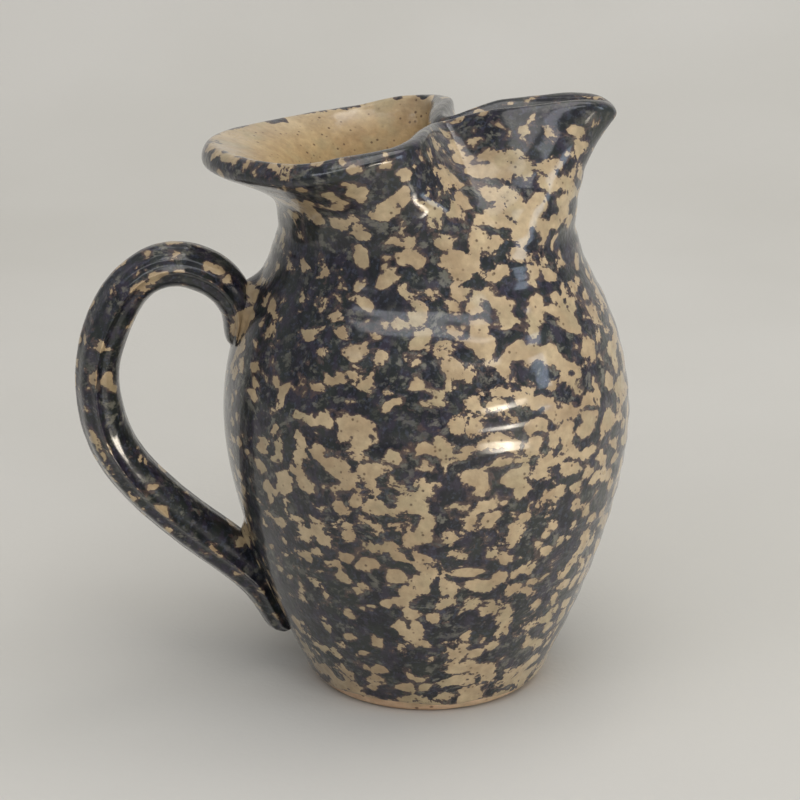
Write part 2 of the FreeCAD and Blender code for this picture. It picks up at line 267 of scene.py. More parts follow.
# %% Node helpers
def new_tree(name, kind, inputs, outputs):
    """Empty node tree with named sockets, and its two end nodes."""
    tree = bpy.data.node_groups.new(name, kind)
    for in_out, entries in (("INPUT", inputs), ("OUTPUT", outputs)):
        for label, socket_type, *default in entries:
            socket = tree.interface.new_socket(label, in_out=in_out, socket_type=socket_type)
            if default:
                socket.default_value = default[0]
    return tree, tree.nodes.new("NodeGroupInput"), tree.nodes.new("NodeGroupOutput")


class Wiring:
    """Short way to add nodes to a tree and join them."""

    def __init__(self, tree):
        self.tree = tree

    def add(self, kind, settings=(), **sockets):
        """New node with its settings, then its sockets fed by name, or by place as i0, i1 and so on."""
        node = self.tree.nodes.new(kind)
        for key, value in dict(settings).items():
            setattr(node, key, value)
        for key, value in sockets.items():
            self.feed(node, key, value)
        return node

    def feed(self, node, key, value):
        """Link a socket, or set its own value."""
        if key.startswith("i") and key[1:].isdigit():
            target = node.inputs[int(key[1:])]
        else:
            label = key.replace("_", " ").lower()
            target = next(socket for socket in node.inputs if socket.enabled and socket.name.lower() == label)
        if isinstance(value, bpy.types.NodeSocket):
            self.tree.links.new(value, target)
        else:
            target.default_value = value

    def math(self, operation, a, b=0.0):
        return self.add("ShaderNodeMath", {"operation": operation}, i0=a, i1=b).outputs[0]

    def vector(self, operation, a, b):
        node = self.add("ShaderNodeVectorMath", {"operation": operation}, i0=a)
        self.feed(node, "Scale" if operation == "SCALE" else "i1", b)
        return node.outputs[0]

    def ramp(self, value, low, high, to_low=0.0, to_high=1.0, smooth=True):
        """Value taken from the range low..high to another range, eased at both ends or straight."""
        node = self.add("ShaderNodeMapRange", {"interpolation_type": "SMOOTHSTEP" if smooth else "LINEAR"},
                        i0=value, i1=low, i2=high, i3=to_low, i4=to_high)
        return node.outputs[0]

    def noise(self, vector, scale, detail=2.0, roughness=0.5, output="Fac"):
        node = self.add("ShaderNodeTexNoise", {"noise_dimensions": "3D"}, vector=vector, scale=scale,
                        detail=detail, roughness=roughness)
        return node.outputs[output]

    def centred(self, *noise_values):
        """Noise about zero instead of about a half."""
        return self.math("SUBTRACT", self.noise(*noise_values), 0.5)

    def attribute(self, label):
        """Named value that a cage carries, in a Geometry Nodes tree."""
        return self.add("GeometryNodeInputNamedAttribute", {"data_type": "FLOAT"}, name=label).outputs[0]


print("wiring helpers:", ", ".join(name for name in vars(Wiring) if not name.startswith("_")))


# %% The skin tree
RIDGE_DRIFT = 1.6
DRIFT_SCALE = 22.0
DIMPLE_SCALE = 170.0


def skin_tree():
    """Tree that subdivides a cage and pushes spiral ridges, wobble and dimples into it."""
    tree, given, result = new_tree(
        "Fired clay skin", "GeometryNodeTree",
        [("Geometry", "NodeSocketGeometry"), ("Levels", "NodeSocketInt", 3),
         ("Ridge Depth", "NodeSocketFloat", 0.0002), ("Ridge Spacing", "NodeSocketFloat", 0.007),
         ("Wobble Depth", "NodeSocketFloat", 0.0004), ("Wobble Scale", "NodeSocketFloat", 30.0),
         ("Dimple Depth", "NodeSocketFloat", 0.0001), ("Seed", "NodeSocketFloat", 1.0),
         ("Finish", "NodeSocketMaterial")],
        [("Geometry", "NodeSocketGeometry")])
    w = Wiring(tree)
    smooth = w.add("GeometryNodeSubdivisionSurface", {"boundary_smooth": "PRESERVE_CORNERS"},
                   mesh=given.outputs["Geometry"], level=given.outputs["Levels"])
    place = w.add("GeometryNodeInputPosition").outputs[0]
    normal = w.add("GeometryNodeInputNormal").outputs[0]
    parts = w.add("ShaderNodeSeparateXYZ", i0=place).outputs
    turn = w.math("DIVIDE", w.math("ARCTAN2", parts[1], parts[0]), 2 * math.pi)
    shift = w.add("ShaderNodeCombineXYZ", i0=given.outputs["Seed"], i1=given.outputs["Seed"]).outputs[0]
    seeded = w.vector("ADD", place, shift)
    drift = w.math("MULTIPLY", w.noise(seeded, DRIFT_SCALE, 1.0), RIDGE_DRIFT)
    climb = w.math("ADD", w.math("DIVIDE", parts[2], given.outputs["Ridge Spacing"]), turn)
    wave = w.math("SINE", w.math("MULTIPLY", w.math("ADD", climb, drift), 2 * math.pi))
    inward = w.math("MULTIPLY", w.math("SUBTRACT", wave, 1.0), 0.5)
    ridge = w.math("MULTIPLY", inward, given.outputs["Ridge Depth"])
    ridge = w.math("MULTIPLY", ridge, w.attribute("ridges"))
    slow = w.ramp(w.noise(seeded, given.outputs["Wobble Scale"], 1.0), 0.25, 0.75, smooth=False)
    wobble = w.math("MULTIPLY", w.math("SUBTRACT", slow, 1.0), given.outputs["Wobble Depth"])
    fine = w.ramp(w.noise(seeded, DIMPLE_SCALE, 2.0), 0.3, 0.7)
    dimple = w.math("MULTIPLY", w.math("SUBTRACT", fine, 1.0), given.outputs["Dimple Depth"])
    total = w.math("ADD", w.math("ADD", ridge, wobble), dimple)
    offset = w.vector("SCALE", normal, w.math("MULTIPLY", total, w.attribute("movable")))
    moved = w.add("GeometryNodeSetPosition", geometry=smooth.outputs[0], offset=offset)
    shaded = w.add("GeometryNodeSetShadeSmooth", geometry=moved.outputs[0])
    real = w.add("GeometryNodeRealizeInstances", geometry=shaded.outputs[0])
    finish = w.add("GeometryNodeSetMaterial", geometry=real.outputs[0], material=given.outputs["Finish"])
    tree.links.new(finish.outputs[0], result.inputs[0])
    return tree


SKIN_TREE = skin_tree()
print("skin tree has", len(SKIN_TREE.nodes), "nodes")


# %% Firing a cage
def fire(cage, material, **sizes):
    """Run the skin tree on a cage and leave the result as a plain mesh."""
    modifier = cage.modifiers.new("skin", "NODES")
    modifier.node_group = SKIN_TREE
    wanted = {key.replace("_", " "): value for key, value in sizes.items()}
    wanted["Finish"] = material
    for item in SKIN_TREE.interface.items_tree:
        if item.in_out == "INPUT" and item.name in wanted:
            modifier[item.identifier] = wanted[item.name]
    bpy.context.view_layer.update()
    graph = bpy.context.evaluated_depsgraph_get()
    fired = bpy.data.meshes.new_from_object(cage.evaluated_get(graph))
    cage.modifiers.remove(modifier)
    old = cage.data
    cage.data = fired
    fired.name = cage.name
    bpy.data.meshes.remove(old)
    print(cage.name, triangle_count(cage), "triangles")
    return cage


skin_inputs = [item.name for item in SKIN_TREE.interface.items_tree if item.in_out == "INPUT"]
print("sizes that a firing can set:", ", ".join(skin_inputs))

# %% [markdown]
# ## Sponge prints
# The pattern on this ware is dabbed on: a damp sponge full of dark glaze is pressed over a tan ground
# again and again, and the ground is left bare in small lobed islands. Where the dark glaze ran thin it
# fires brown at the island edge, and hazy blue-grey in the open. A shader node group can make those masks
# from warped cells and noise, so every glazed piece carries one continuous print.

# %% Colour helpers
def rgb(red, green, blue):
    """Linear colour from a printed 0..255 colour."""
    def linear(value):
        value /= 255
        return value / 12.92 if value <= 0.04045 else ((value + 0.055) / 1.055) ** 2.4
    return linear(red), linear(green), linear(blue), 1.0


def mix(w, factor, first, second, blend="MIX"):
    """One colour laid over another."""
    node = w.tree.nodes.new("ShaderNodeMix")
    node.data_type = "RGBA"
    node.blend_type = blend
    for socket, value in zip((node.inputs[0], node.inputs[6], node.inputs[7]), (factor, first, second)):
        if isinstance(value, bpy.types.NodeSocket):
            w.tree.links.new(value, socket)
        else:
            socket.default_value = value
    return node.outputs[2]


print("a buff of 190, 170, 137 is", [round(part, 3) for part in rgb(190, 170, 137)[:3]], "in linear light")

# %% Sponge print masks
SQUASH = 1.22
WARP = 0.0065


def sponge_group():
    """Masks for the bare islands, their brown edge, the haze and the height of the dark glaze."""
    tree, given, result = new_tree(
        "Sponge prints", "ShaderNodeTree",
        [("Place", "NodeSocketVector"), ("Share", "NodeSocketFloat", 0.0),
         ("Island", "NodeSocketFloat", 100.0)],
        [(label, "NodeSocketFloat") for label in ("Bare", "Fringe", "Haze", "Relief")])
    w = Wiring(tree)
    island = given.outputs["Island"]
    place = w.vector("MULTIPLY", given.outputs["Place"], (1.0, 1.0, SQUASH))
    warp = w.vector("SUBTRACT", w.noise(place, 70.0, 1.0, output="Color"), (0.5, 0.5, 0.5))
    place = w.vector("ADD", place, w.vector("SCALE", warp, WARP))
    cell = w.add("ShaderNodeTexVoronoi", {"feature": "SMOOTH_F1"}, vector=place, scale=island,
                 smoothness=0.35).outputs["Distance"]
    lobes = w.centred(place, w.math("MULTIPLY", island, 1.1), 1.0)
    edge = w.centred(place, w.math("MULTIPLY", island, 3.4), 2.0)
    broad = w.centred(place, 20.0, 1.0)
    crumble = w.ramp(w.noise(place, 48.0, 1.0), 0.40, 0.60, 0.15, 0.85)
    micro = w.math("MULTIPLY", w.centred(place, 560.0, 2.0, 0.6), crumble)
    field = w.math("SUBTRACT", 0.42, cell)
    for part, weight in ((lobes, 1.08), (edge, 0.46), (broad, 0.44), (micro, 1.0)):
        field = w.math("ADD", field, w.math("MULTIPLY", part, weight))
    field = w.math("ADD", field, given.outputs["Share"])
    bare = w.ramp(field, -0.03, 0.045)
    low, high = w.ramp(field, -0.17, -0.03), w.ramp(field, 0.0, 0.06)
    fringe = w.math("MULTIPLY", low, w.math("SUBTRACT", 1.0, high))
    spots = w.ramp(w.noise(place, 300.0, 3.0, 0.65), 0.50, 0.66)
    cloud = w.ramp(w.noise(place, 60.0, 2.0), 0.38, 0.62)
    haze = w.math("MULTIPLY", spots, cloud)
    haze = w.math("MULTIPLY", haze, w.math("SUBTRACT", 1.0, bare))
    relief = w.ramp(field, -0.25, 0.15)
    for key, value in (("Bare", bare), ("Fringe", fringe), ("Haze", haze), ("Relief", relief)):
        tree.links.new(value, result.inputs[key])
    return tree


SPONGE = sponge_group()
print("sponge group has", len(SPONGE.nodes), "nodes")

# %% [markdown]
# ## Tan ground
# The ground is a buff clay under an iron-rich honey glaze. It shifts slowly between pink and straw, and
# iron in the clay bleeds through as small dark specks. The same group serves the islands, the inside of
# the vessel and the bare foot, each with its own depth of colour.

# %% Tan ground colour
IRON_SPECK = rgb(72, 50, 38)


def ground_group():
    """Buff colour with peach and grey patches, fine grain and iron specks."""
    tree, given, result = new_tree(
        "Speckled tan ground", "ShaderNodeTree",
        [("Place", "NodeSocketVector"), ("Light Tan", "NodeSocketColor", rgb(200, 176, 138)),
         ("Deep Tan", "NodeSocketColor", rgb(160, 130, 98)),
         ("Cool Tan", "NodeSocketColor", rgb(150, 142, 112)),
         ("Speck Size", "NodeSocketFloat", 600.0), ("Speck Amount", "NodeSocketFloat", 0.5)],
        [("Color", "NodeSocketColor"), ("Specks", "NodeSocketFloat"), ("Grain", "NodeSocketFloat")])
    w = Wiring(tree)
    place = given.outputs["Place"]
    slow = w.ramp(w.noise(place, 38.0, 3.0, 0.6), 0.32, 0.68)
    fine = w.noise(place, 420.0, 3.0, 0.6)
    patch = w.ramp(w.noise(place, 135.0, 2.0, 0.55), 0.38, 0.62)
    slow = w.math("ADD", w.math("MULTIPLY", slow, 0.55), w.math("MULTIPLY", patch, 0.45))
    colour = mix(w, slow, given.outputs["Deep Tan"], given.outputs["Light Tan"])
    cool = w.ramp(w.noise(place, 88.0, 2.0), 0.50, 0.66, 0.0, 0.38)
    colour = mix(w, cool, colour, given.outputs["Cool Tan"])
    shade = w.ramp(fine, 0.3, 0.7, 0.84, 1.1, smooth=False)
    grey = w.add("ShaderNodeCombineXYZ", i0=shade, i1=shade, i2=shade).outputs[0]
    colour = mix(w, 1.0, colour, grey, "MULTIPLY")
    cells = w.add("ShaderNodeTexVoronoi", {"feature": "F1"}, vector=place, scale=given.outputs["Speck Size"])
    pick = w.add("ShaderNodeSeparateColor", i0=cells.outputs["Color"]).outputs[0]
    dot = w.ramp(cells.outputs["Distance"], 0.36, 0.14)
    specks = w.math("MULTIPLY", dot, w.ramp(pick, 0.68, 0.86))
    specks = w.math("MULTIPLY", specks, given.outputs["Speck Amount"])
    colour = mix(w, specks, colour, IRON_SPECK)
    for key, value in (("Color", colour), ("Specks", specks), ("Grain", fine)):
        tree.links.new(value, result.inputs[key])
    return tree


GROUND = ground_group()
print("ground group has", len(GROUND.nodes), "nodes")

# %% Material helpers
def new_material(name):
    """Material with one Principled shader, and the wiring to feed it."""
    material = bpy.data.materials.new(name)
    material.use_nodes = True
    material.node_tree.nodes.clear()
    w = Wiring(material.node_tree)
    shader = w.add("ShaderNodeBsdfPrincipled")
    out = w.add("ShaderNodeOutputMaterial")
    w.tree.links.new(shader.outputs[0], out.inputs[0])
    return material, w, shader


def placed(w, group, **values):
    """A shader group set into a material with its own values."""
    node = w.tree.nodes.new("ShaderNodeGroup")
    node.node_tree = group
    for key, value in values.items():
        w.feed(node, key, value)
    return node


def object_place(w):
    return w.add("ShaderNodeTexCoord").outputs["Object"]


def bump(w, shader, layers):
    """Chain of bumps, each a height and the depth in metres that it stands for."""
    normal = None
    for height, depth in layers:
        node = w.add("ShaderNodeBump", height=height, distance=depth, strength=1.0)
        if normal is not None:
            w.tree.links.new(normal, node.inputs["Normal"])
        normal = node.outputs[0]
    w.tree.links.new(normal, shader.inputs["Normal"])


# %% Glaze colours and gloss
ISLAND = 160.0
SHARE = 0.04
INSIDE_SHARE = 1.6
DARK_SHARE = 0.30
OUTSIDE_LIGHT = rgb(192, 172, 139)
OUTSIDE_DEEP = rgb(160, 138, 108)
INSIDE_LIGHT = rgb(183, 157, 114)
INSIDE_DEEP = rgb(160, 132, 94)
DARK_BLUE = rgb(18, 20, 28)
DARK_GREEN = rgb(36, 41, 39)
SLATE = rgb(56, 49, 66)
HAZE = rgb(126, 124, 112)
FLECK = rgb(92, 100, 122)
FRINGE = rgb(84, 68, 64)
OUTSIDE_COAT, INSIDE_COAT = 0.85, 0.04
COAT_ROUGHNESS = 0.11
COAT_IOR = 1.5
UNDER_GLOSS = 0.18
print("islands repeat about every", round(1000 / ISLAND, 1), "mm")


def glassy(shader):
    """Even values that every glaze shares."""
    shader.inputs["Coat Roughness"].default_value = COAT_ROUGHNESS
    shader.inputs["Coat IOR"].default_value = COAT_IOR
    shader.inputs["Specular IOR Level"].default_value = UNDER_GLOSS


# %% Sponged glaze
def sponged_material():
    """Dark sponge print over tan outside and on the lip, easing to plain tan inside."""
    material, w, shader = new_material("sponged_glaze")
    place = object_place(w)
    within = w.add("ShaderNodeAttribute", {"attribute_name": "inside"}).outputs["Fac"]
    held_dark = w.add("ShaderNodeAttribute", {"attribute_name": "dark"}).outputs["Fac"]
    more_bare = w.math("MULTIPLY", within, INSIDE_SHARE)
    share = w.math("SUBTRACT", more_bare, w.math("MULTIPLY", held_dark, DARK_SHARE))
    prints = placed(w, SPONGE, Place=place, Share=w.math("ADD", share, SHARE), Island=ISLAND)
    light = mix(w, within, OUTSIDE_LIGHT, INSIDE_LIGHT)
    deep = mix(w, within, OUTSIDE_DEEP, INSIDE_DEEP)
    ground = placed(w, GROUND, Place=place, Light_Tan=light, Deep_Tan=deep, Speck_Amount=0.8)
    tone = w.ramp(w.noise(place, 110.0, 3.0, 0.6), 0.40, 0.60)
    dark = mix(w, tone, DARK_BLUE, DARK_GREEN)
    streak = w.ramp(w.noise(w.vector("MULTIPLY", place, (1.0, 1.0, 0.6)), 230.0, 3.0, 0.7), 0.46, 0.64)
    dark = mix(w, w.math("MULTIPLY", streak, 0.6), dark, SLATE)
    fleck = w.ramp(w.noise(place, 700.0, 2.0, 0.6), 0.52, 0.70, 0.0, 0.24)
    dark = mix(w, fleck, dark, FLECK)
    dark = mix(w, w.math("MULTIPLY", prints.outputs["Haze"], 0.66), dark, HAZE)
    dark = mix(w, w.math("MULTIPLY", prints.outputs["Fringe"], 0.78), dark, FRINGE)
    colour = mix(w, prints.outputs["Bare"], dark, ground.outputs["Color"])
    w.tree.links.new(colour, shader.inputs["Base Color"])
    rough = w.ramp(w.noise(place, 90.0, 3.0), 0.3, 0.7, 0.26, 0.40, smooth=False)
    rough = w.math("ADD", rough, w.math("MULTIPLY", w.ramp(within, 0.3, 1.0), 0.28))
    w.tree.links.new(rough, shader.inputs["Roughness"])
    coat = w.ramp(within, 0.3, 1.0, OUTSIDE_COAT, INSIDE_COAT)
    w.tree.links.new(coat, shader.inputs["Coat Weight"])
    glassy(shader)
    peel = w.noise(place, 260.0, 2.0, 0.5)
    swell = w.noise(place, 75.0, 1.0, 0.5)
    grit = w.noise(place, 900.0, 2.0, 0.6)
    bump(w, shader, ((prints.outputs["Relief"], 0.00016), (swell, 0.0009), (peel, 0.00040), (grit, 0.00009)))
    return material


SPONGED = sponged_material()
print("sponged glaze:", len(SPONGED.node_tree.nodes), "nodes")


# %% Tan liner
def liner_material():
    """Plain speckled tan, almost satin."""
    material, w, shader = new_material("tan_liner")
    place = object_place(w)
    ground = placed(w, GROUND, Place=place, Light_Tan=INSIDE_LIGHT, Deep_Tan=INSIDE_DEEP, Speck_Amount=0.8)
    w.tree.links.new(ground.outputs["Color"], shader.inputs["Base Color"])
    rough = w.ramp(w.noise(place, 90.0, 3.0), 0.3, 0.7, 0.54, 0.68, smooth=False)
    w.tree.links.new(rough, shader.inputs["Roughness"])
    shader.inputs["Coat Weight"].default_value = INSIDE_COAT
    glassy(shader)
    bump(w, shader, ((w.noise(place, 75.0, 1.0), 0.0006), (ground.outputs["Grain"], 0.00008)))
    return material


LINER = liner_material()
print("tan liner:", len(LINER.node_tree.nodes), "nodes")


# %% Bare clay
def clay_material():
    """Dry sandy clay with iron specks."""
    material, w, shader = new_material("bare_clay")
    place = object_place(w)
    ground = placed(w, GROUND, Place=place, Light_Tan=rgb(222, 194, 164), Deep_Tan=rgb(196, 164, 134),
                    Speck_Amount=0.9, Speck_Size=420.0)
    sand = w.noise(place, 900.0, 3.0, 0.7)
    w.tree.links.new(ground.outputs["Color"], shader.inputs["Base Color"])
    w.tree.links.new(w.ramp(sand, 0.3, 0.7, 0.72, 0.92, smooth=False), shader.inputs["Roughness"])
    bump(w, shader, ((sand, 0.00018), (ground.outputs["Specks"], 0.00006)))
    return material


CLAY = clay_material()
print("bare clay:", len(CLAY.node_tree.nodes), "nodes")

# %% [markdown]
# ## The sponged wall
# This is the glazed outside, the lip and the first part of the inside. Its lower edge stops above the
# foot in a low rounded bead, because a potter wipes the foot clean so that the pot doesn't weld itself to
# the kiln shelf. Rings from the thrown form go straight into the cage. Four wavering rings make the bead,
# and three more turn the shallow groove under the collar.

# %% Profile of the finished surface
round_rows = range(1, len(outside) - FLARE_ROWS)
skin_radius = [float(np.hypot(*ring[0, :2])) for ring in skin_rings]
skin_height = [float(ring[0, 2]) for ring in skin_rings]
profile = [((skin_height[i - 1] + 4 * skin_height[i] + skin_height[i + 1]) / 6,
            (skin_radius[i - 1] + 4 * skin_radius[i] + skin_radius[i + 1]) / 6) for i in round_rows]
profile_z, profile_r = np.array(profile).T


def skin_at(height):
    """Radius of the finished surface at a height on the round part."""
    return float(np.interp(height, profile_z, profile_r))


print("finished belly radius", round(skin_at(BELLY[0]), 2), "mm")

# %% Bead and groove rows
BEAD_HEIGHT = 3.4
BEAD_ROWS = ((0.3, -0.75), (-0.25, -0.15), (0.15, 0.42), (1.3, 0.35))
ABOVE_BEAD = 6.4
GROOVE_HEIGHT = 138.6
GROOVE_HALF = 1.5
GROOVE_DEPTH = 0.35

bead_wander = 0.5 * np.sin(turns * 3 + 0.7) + 0.35 * np.sin(turns * 7 + 2.0) + 0.25 * np.sin(turns * 11)
bead = []
for lift, out in BEAD_ROWS:
    height = BEAD_HEIGHT + lift + bead_wander
    radius = np.array([skin_at(z) for z in height]) + out
    bead.append(np.stack([radius * np.cos(turns), radius * np.sin(turns), height], 1))
top_round = FOOT_ROWS + len(RING_HEIGHTS) - 1
wall_rows = bead + [circle_ring(skin_at(ABOVE_BEAD), ABOVE_BEAD)] + skin_rings[FOOT_ROWS:top_round + 1]
for lift, depth in ((-GROOVE_HALF, 0.0), (0.0, GROOVE_DEPTH), (GROOVE_HALF, 0.0)):
    wall_rows.append(circle_ring(skin_at(GROOVE_HEIGHT + lift) - depth, GROOVE_HEIGHT + lift))
lip_start = len(wall_rows) + len(outside) - top_round - 1
neck_row = len(outside) + len(roll) + FLARE_ROWS + 1
wall_rows += skin_rings[top_round + 1:neck_row + 1]
wall_count = len(wall_rows)
print(wall_count, "wall rings, the lip from ring", lip_start)

# %% [markdown]
# ## How the print follows the wall
# The sponge was dabbed harder in some places than in others: the lip and the side by the handle hold more
# dark glaze, the spout's flanks and the front less, and a wet cloth wiped the lowest few millimetres
# almost clean. Each of these is a bell or a short list of weights over the rings. Together they make one
# attribute, dark, which the glaze material reads.


# %% Weights over the turn and over the rows
def round_bell(degrees, spread):
    """Bell over the turn, highest in one direction."""
    return np.exp(-((turns - math.radians(degrees)) / spread) ** 2)


def height_bell(height, spread):
    """Bell over the rows, highest at one height."""
    row_height = np.array([row[:, 2].mean() for row in wall_rows])
    return np.exp(-((row_height - height) / spread) ** 2)


def row_weights(first, values):
    """Zero on every row but a few, which take the values given."""
    weights = np.zeros(wall_count)
    weights[first:first + len(values)] = values
    return weights


lip_dark = row_weights(lip_start - 3, (0.0, 0.2, 0.75, 0.85, 0.5, 0.35, 0.3, 0.2))
below_lip = row_weights(lip_start - 7, (0.3, 0.7, 1.0, 1.0, 0.8, 0.3))
wiped = row_weights(0, (1.0, 1.0, 1.0, 0.9, 0.65, 0.3, 0.1))
on_belly = row_weights(7, np.ones(lip_start - 11))
print("rows with extra dark at the lip:", int((lip_dark > 0).sum()))

# %% One attribute for the print
SPOUT_FLANK, SPOUT_FLANK_SPREAD = 0.72, 0.34
SPOUT_FLANK_BARE = 0.62
HANDLE_SIDE_DARK, FRONT_BARE = 0.50, 0.10
LOW_DARK, NECK_DARK = 0.42, 0.30

facing = np.abs(np.arctan2(np.sin(turns), np.cos(turns)))
flank = np.exp(-((facing - SPOUT_FLANK) / SPOUT_FLANK_SPREAD) ** 2)
wiped_round = 0.75 - 0.45 * round_bell(278, 0.22) + 0.25 * np.sin(turns * 5 + 1.0)
belly_round = HANDLE_SIDE_DARK * round_bell(212, 0.65) - FRONT_BARE * round_bell(312, 0.75)
bands = LOW_DARK * height_bell(24.0, 16.0) + NECK_DARK * height_bell(136.0, 12.0)
print_weight = lip_dark[:, None] - SPOUT_FLANK_BARE * below_lip[:, None] * flank
print_weight = print_weight - wiped[:, None] * wiped_round
print_weight = print_weight + on_belly[:, None] * belly_round
print_weight = print_weight + bands[:, None]
print("print weight from", round(print_weight.min(), 2), "to", round(print_weight.max(), 2))

# %% Glazed wall
HANDLE_TURN = math.radians(190.0)
STEADY_HALF, STEADY_EASE = 0.25, 0.35


def away_from_handle(rings):
    """0 beside the handle joins and 1 elsewhere, so that the joins sit on a steady surface."""
    grid = np.array(rings)
    turn = np.arctan2(grid[..., 1], grid[..., 0]) - HANDLE_TURN
    turn = np.abs((turn + math.pi) % (2 * math.pi) - math.pi)
    return np.clip((turn - STEADY_HALF) / STEADY_EASE, 0, 1)


within = row_weights(lip_start + 1, (0.0, 0.05, 0.30, 0.75))
within[lip_start + 5:] = 1.0
ridges = row_weights(6, np.ones(lip_start - 9))
movable = np.ones(wall_count)
movable[:7] = (0, 0, 0, 0, 0.1, 0.4, 0.8)
movable[-3:] = (0.6, 0.2, 0.0)
wall_cage = ring_mesh("glazed_wall", cage_points(wall_rows), {
    "inside": within[:, None], "dark": print_weight, "ridges": ridges[:, None],
    "movable": movable[:, None] * away_from_handle(wall_rows)})
glazed_wall = fire(wall_cage, SPONGED, Levels=3, Ridge_Depth=0.00028, Ridge_Spacing=0.0085,
                   Wobble_Depth=0.0006, Wobble_Scale=26.0, Dimple_Depth=0.00012, Seed=3.0)

# %% [markdown]
# ## The liner
# The inside was filled with plain tan glaze and poured out again before the sponging. Its top edge runs
# under the sponged glaze of the mouth, so the first two rings are tucked into the wall and no gap shows.

# %% Liner wall
LINER_TUCKS = (1.5, 0.45)

skin_normals = grid_normals(skin_rings)
liner_rows = [ring.copy() for ring in skin_rings[neck_row - 1:]]
for row, tuck in enumerate(LINER_TUCKS):
    liner_rows[row] -= skin_normals[neck_row - 1 + row] * tuck
liner_count = len(liner_rows)
liner_ridges = np.clip(np.arange(liner_count) / 3, 0, 1)
liner_movable = np.clip(np.arange(liner_count) / 2, 0, 1)
liner_cage = ring_mesh("liner_wall", cage_points(liner_rows), {
    "inside": np.ones((liner_count, 1)), "dark": np.zeros((liner_count, 1)),
    "ridges": liner_ridges[:, None], "movable": liner_movable[:, None]}, cap_end=True)
liner_wall = fire(liner_cage, LINER, Levels=3, Ridge_Depth=0.0004, Ridge_Spacing=0.0095,
                  Wobble_Depth=0.0004, Wobble_Scale=30.0, Dimple_Depth=0.0001, Seed=9.0)

# %% [markdown]
# ## The bare foot
# Below the bead the clay shows. The pot was cut from the wheel with a twisted wire, which leaves shell-like
# arcs on the underside, and the sharp corner is softened with a thumb. The underside is a set of rings
# again, and the arcs are a ripple with its centre off to one side, pushed up into the clay.

# %% Bare foot
UNDERSIDE = ((3.0, 0.9), (11.0, 0.85), (19.0, 0.7), (26.0, 0.35), (31.0, 0.06), (33.4, 0.0),
             (FOOT_RADIUS, 0.12), (FOOT_RADIUS + 0.95, 0.75))
FOOT_SIDE = (1.9, 3.4, 5.4, 8.6)
UNDER_GLAZE = GLAZE + 0.05

foot_rows = [circle_ring(radius, height) for radius, height in UNDERSIDE]
foot_rows += [circle_ring(skin_at(height) - UNDER_GLAZE, height) for height in FOOT_SIDE]
bare_foot = ring_mesh("bare_foot", cage_points(foot_rows), {}, cap_start=True)
smooth = bare_foot.modifiers.new("smooth", "SUBSURF")
smooth.levels = smooth.render_levels = 4
bpy.context.view_layer.update()
graph = bpy.context.evaluated_depsgraph_get()
foot_mesh = bpy.data.meshes.new_from_object(bare_foot.evaluated_get(graph))
bare_foot.modifiers.clear()
bare_foot.data = foot_mesh
foot_mesh.name = "bare_foot"
print("bare foot", triangle_count(bare_foot), "triangles")

# %% Wire-cut arcs, metres
WIRE_CENTRE = (-0.046, 0.012)
WIRE_SPACING = 0.0032
WIRE_DEPTH = 0.00016
ARCS_OUT_TO, ARCS_EASE = 0.0325, 0.004
UNDERSIDE_TOP = 0.003

points = np.empty(len(foot_mesh.vertices) * 3)
foot_mesh.vertices.foreach_get("co", points)
points = points.reshape(-1, 3)
reach = np.hypot(points[:, 0], points[:, 1])
under = np.clip((ARCS_OUT_TO - reach) / ARCS_EASE, 0, 1) * (points[:, 2] < UNDERSIDE_TOP)
arc = np.hypot(points[:, 0] - WIRE_CENTRE[0], points[:, 1] - WIRE_CENTRE[1])
points[:, 2] += under * WIRE_DEPTH * (1 + np.sin(arc * 2 * math.pi / WIRE_SPACING))
foot_mesh.vertices.foreach_set("co", points.reshape(-1))
foot_mesh.polygons.foreach_set("use_smooth", [True] * len(foot_mesh.polygons))
foot_mesh.materials.append(CLAY)
foot_mesh.update()
print("arcs every", WIRE_SPACING / MM, "mm over", int((under > 0).sum()), "points")

# %% [markdown]
# ## The pulled strap handle
# A pulled handle is drawn out of a lump of wet clay between finger and thumb, which leaves a rib down
# its back, a flute to each side and a firm edge. It is laid on as an arch, so the shape is one path and one
# section that changes along it. The section rides the path in code, and the glaze gathers light on the
# ridges: there the sponge print is thin and more tan shows.

# %% Handle path and section
UPPER_ROOT, LOWER_ROOT, TAIL, ARCH_TOP, REACH = 117.0, 33.0, 17.5, 132.9, 99.7
HANDLE_WIDTH, ARCH_THICK, GRIP_THICK, TAIL_THICK = 18.4, 12.6, 12.7, 14.2
shoulder = outer_radius(UPPER_ROOT)
HANDLE_PATH = np.array([
    (outer_radius(UPPER_ROOT - 8.5) - 0.2, UPPER_ROOT - 8.5), (shoulder + 1.3, UPPER_ROOT),
    (shoulder + 3.8, UPPER_ROOT + 7.6), (shoulder + 10.5, UPPER_ROOT + 13.4), (shoulder + 20.5, ARCH_TOP),
    (shoulder + 30.6, ARCH_TOP - 4.0), (REACH - 5.8, ARCH_TOP - 13.8), (REACH - 0.9, ARCH_TOP - 27.2),
    (REACH - 0.1, ARCH_TOP - 40.4), (REACH - 3.4, ARCH_TOP - 54.8), (REACH - 12.0, ARCH_TOP - 68.2),
    (REACH - 24.7, LOWER_ROOT + 19.0), (outer_radius(LOWER_ROOT) + 12.4, LOWER_ROOT + 8.8),
    (outer_radius(LOWER_ROOT) + 3.2, LOWER_ROOT), (outer_radius(TAIL + 7.5) + 1.9, TAIL + 7.5),
    (outer_radius(TAIL) + 1.9, TAIL), (outer_radius(TAIL - 3.0) + 1.0, TAIL - 3.0)])
THICKNESS = [ARCH_THICK * s for s in (0.36, 0.72, 0.92, 1, 1, 0.98)]
THICKNESS += [GRIP_THICK * s for s in (1.03, 1, 1, 1.04)]
THICKNESS += [TAIL_THICK * s for s in (0.95, 0.99, 1, 0.94, 0.80, 0.62, 0.30)]
